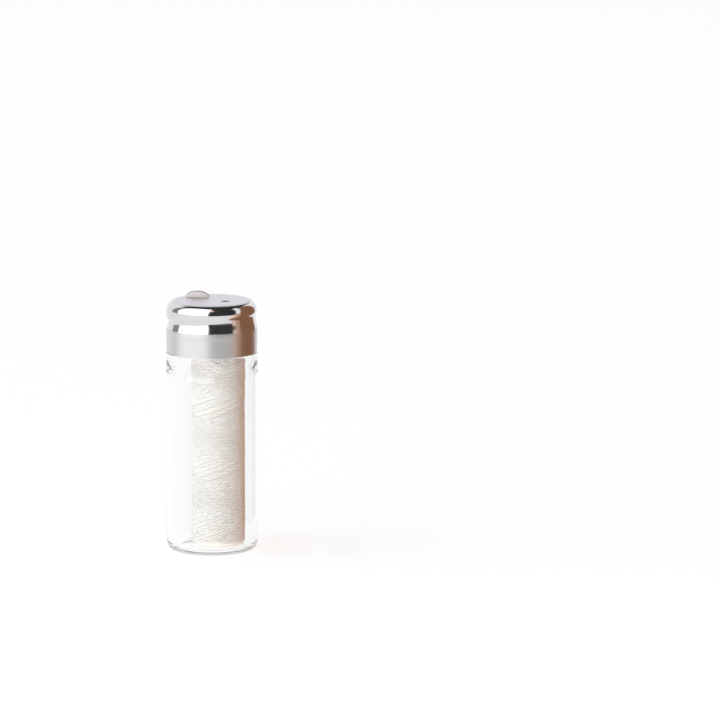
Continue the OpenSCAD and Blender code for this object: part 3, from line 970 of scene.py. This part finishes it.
        # The room is less dark far to the left
        left = node(tree, "ShaderNodeMapRange", {
            "Value": apart.outputs[0], "From Min": -0.9, "From Max": -0.6,
            "To Min": ROOM_LEFT, "To Max": ROOM_DARK})
        dark = node(tree, "ShaderNodeMapRange", {"Value": deep, "To Min": left, "To Max": ROOM_WITHIN})
        room = node(tree, "ShaderNodeMapRange", {"Value": sweep, "To Min": dark, "To Max": 1.0})
        mirrored = node(tree, "ShaderNodeBackground", {"Color": linear("#ffffff"), "Strength": room})
        warmer = node(tree, "ShaderNodeMapRange", {"Value": apart.outputs[0], "From Min": 0.1,
                                                   "From Max": 0.8}, interpolation_type="SMOOTHSTEP")
        sides = node(tree, "ShaderNodeMixRGB", {"Fac": warmer, "Color1": linear("#ffffff"),
                                                "Color2": linear("#a8795a")})
        even = node(tree, "ShaderNodeBackground", {"Color": sides, "Strength": 0.93})
        plain = node(tree, "ShaderNodeBackground", {"Color": linear("#ffffff"), "Strength": 1.0})
        # Steel seen by the camera mirrors the room. Steel that only passes light on to silk doesn't
        passed = node(tree, "ShaderNodeMath", {0: path.outputs["Is Glossy Ray"],
                                               1: path.outputs["Diffuse Depth"]},
                      operation="SUBTRACT", use_clamp=True)
        glossy = node(tree, "ShaderNodeMixShader", {0: passed, 1: even, 2: mirrored})
        clear = node(tree, "ShaderNodeMath", {0: path.outputs["Is Camera Ray"],
                                              1: path.outputs["Is Transmission Ray"]},
                     operation="MAXIMUM")
        seen = node(tree, "ShaderNodeMixShader", {0: clear, 1: glossy, 2: plain})
        tree.links.new(seen.outputs[0], out.inputs["Surface"])

        deselect()
        place, aim = Vector((-0.3, -0.47, 0.13)), Vector((0, 0, 0.04))
        bpy.ops.object.light_add(type="AREA", location=place)
        lamp = bpy.context.object
        lamp.name = "softbox"
        lamp.rotation_euler = (aim - place).to_track_quat("-Z", "Y").to_euler()
        lamp.data.shape = "RECTANGLE"
        lamp.data.size, lamp.data.size_y = 0.9, 0.44
        lamp.data.energy = 2.7
        lamp.visible_glossy = False

    def card(self, name, corners, colour, strength=1.0):
        """A flat card with its four corners in millimetres, that steel sees as a reflection."""
        deselect()
        bpy.ops.mesh.primitive_plane_add(size=1, location=(0, 0, 0))
        card = named(name)
        for v, corner in zip(card.data.vertices, corners):
            v.co = Vector(corner) * MM
        material, tree, out = surface(name)
        path = node(tree, "ShaderNodeLightPath")
        lit = node(tree, "ShaderNodeEmission", {"Color": linear(colour), "Strength": strength})
        none = node(tree, "ShaderNodeBsdfTransparent")
        # Glass doesn't show the card, but the silk behind the glass still gets its light
        deep = node(tree, "ShaderNodeMath", {0: path.outputs["Transmission Depth"], 1: 0.5},
                    operation="GREATER_THAN")
        through = node(tree, "ShaderNodeMath", {0: deep, 1: path.outputs["Is Diffuse Ray"]},
                       operation="SUBTRACT")
        shade = node(tree, "ShaderNodeMixShader", {0: through, 1: lit, 2: none})
        tree.links.new(shade.outputs[0], out.inputs["Surface"])
        card.data.materials.append(material)
        card.visible_camera = False
        card.visible_shadow = False
        return card

    def camera(self, context):
        """The camera, far off with a long lens and a little above the object."""
        rise, distance = math.radians(10.0), 2.0
        middle = Vector((35.7, 0, 46.3)) * MM
        bpy.ops.object.camera_add(
            location=middle + Vector((0, -math.cos(rise), math.sin(rise))) * distance,
            rotation=(math.radians(90) - rise, 0, 0))
        camera = bpy.context.object
        camera.name = "camera"
        camera.data.lens = 415
        camera.data.sensor_width = 36
        camera.data.clip_start, camera.data.clip_end = 0.05, 30
        context.scene.camera = camera
        context.scene.view_settings.view_transform = "Standard"
        # Light crosses four glass surfaces, and turns several times in the thick base
        context.scene.cycles.max_bounces = 32
        context.scene.cycles.glossy_bounces = 24
        context.scene.cycles.transmission_bounces = 32


# Add-on

OPERATORS = (
    DISPENSER_OT_stage,
    DISPENSER_OT_glass_vial,
    DISPENSER_OT_screw_cap,
    DISPENSER_OT_rim_gasket,
    DISPENSER_OT_paper_core,
    DISPENSER_OT_silk_package,
)


class DISPENSER_PT_pieces(bpy.types.Panel):
    """Lists the pieces of the dispenser and its sizes"""

    bl_idname = "DISPENSER_PT_pieces"
    bl_label = "Dental floss dispenser"
    bl_space_type = "VIEW_3D"
    bl_region_type = "UI"
    bl_category = "Dispenser"

    def draw(self, context):
        for group in (context.scene.vial_sizes, context.scene.cap_sizes, context.scene.spool_sizes):
            box = self.layout.box()
            for name in group.__annotations__:
                box.prop(group, name)
        for operator in OPERATORS:
            self.layout.operator(operator.bl_idname)


GROUPS = (VialSizes, CapSizes, SpoolSizes)
CLASSES = (*GROUPS, *OPERATORS, DISPENSER_PT_pieces)


def register():
    for cls in CLASSES:
        bpy.utils.register_class(cls)
    bpy.types.Scene.vial_sizes = bpy.props.PointerProperty(type=VialSizes)
    bpy.types.Scene.cap_sizes = bpy.props.PointerProperty(type=CapSizes)
    bpy.types.Scene.spool_sizes = bpy.props.PointerProperty(type=SpoolSizes)


def unregister():
    del bpy.types.Scene.spool_sizes, bpy.types.Scene.cap_sizes, bpy.types.Scene.vial_sizes
    for cls in reversed(CLASSES):
        bpy.utils.unregister_class(cls)


def main():
    register()
    for operator in OPERATORS:
        group, name = operator.bl_idname.split(".")
        if getattr(getattr(bpy.ops, group), name)() != {"FINISHED"}:
            raise RuntimeError(f"{operator.bl_label} didn't finish")


if __name__ == "__main__":
    main()
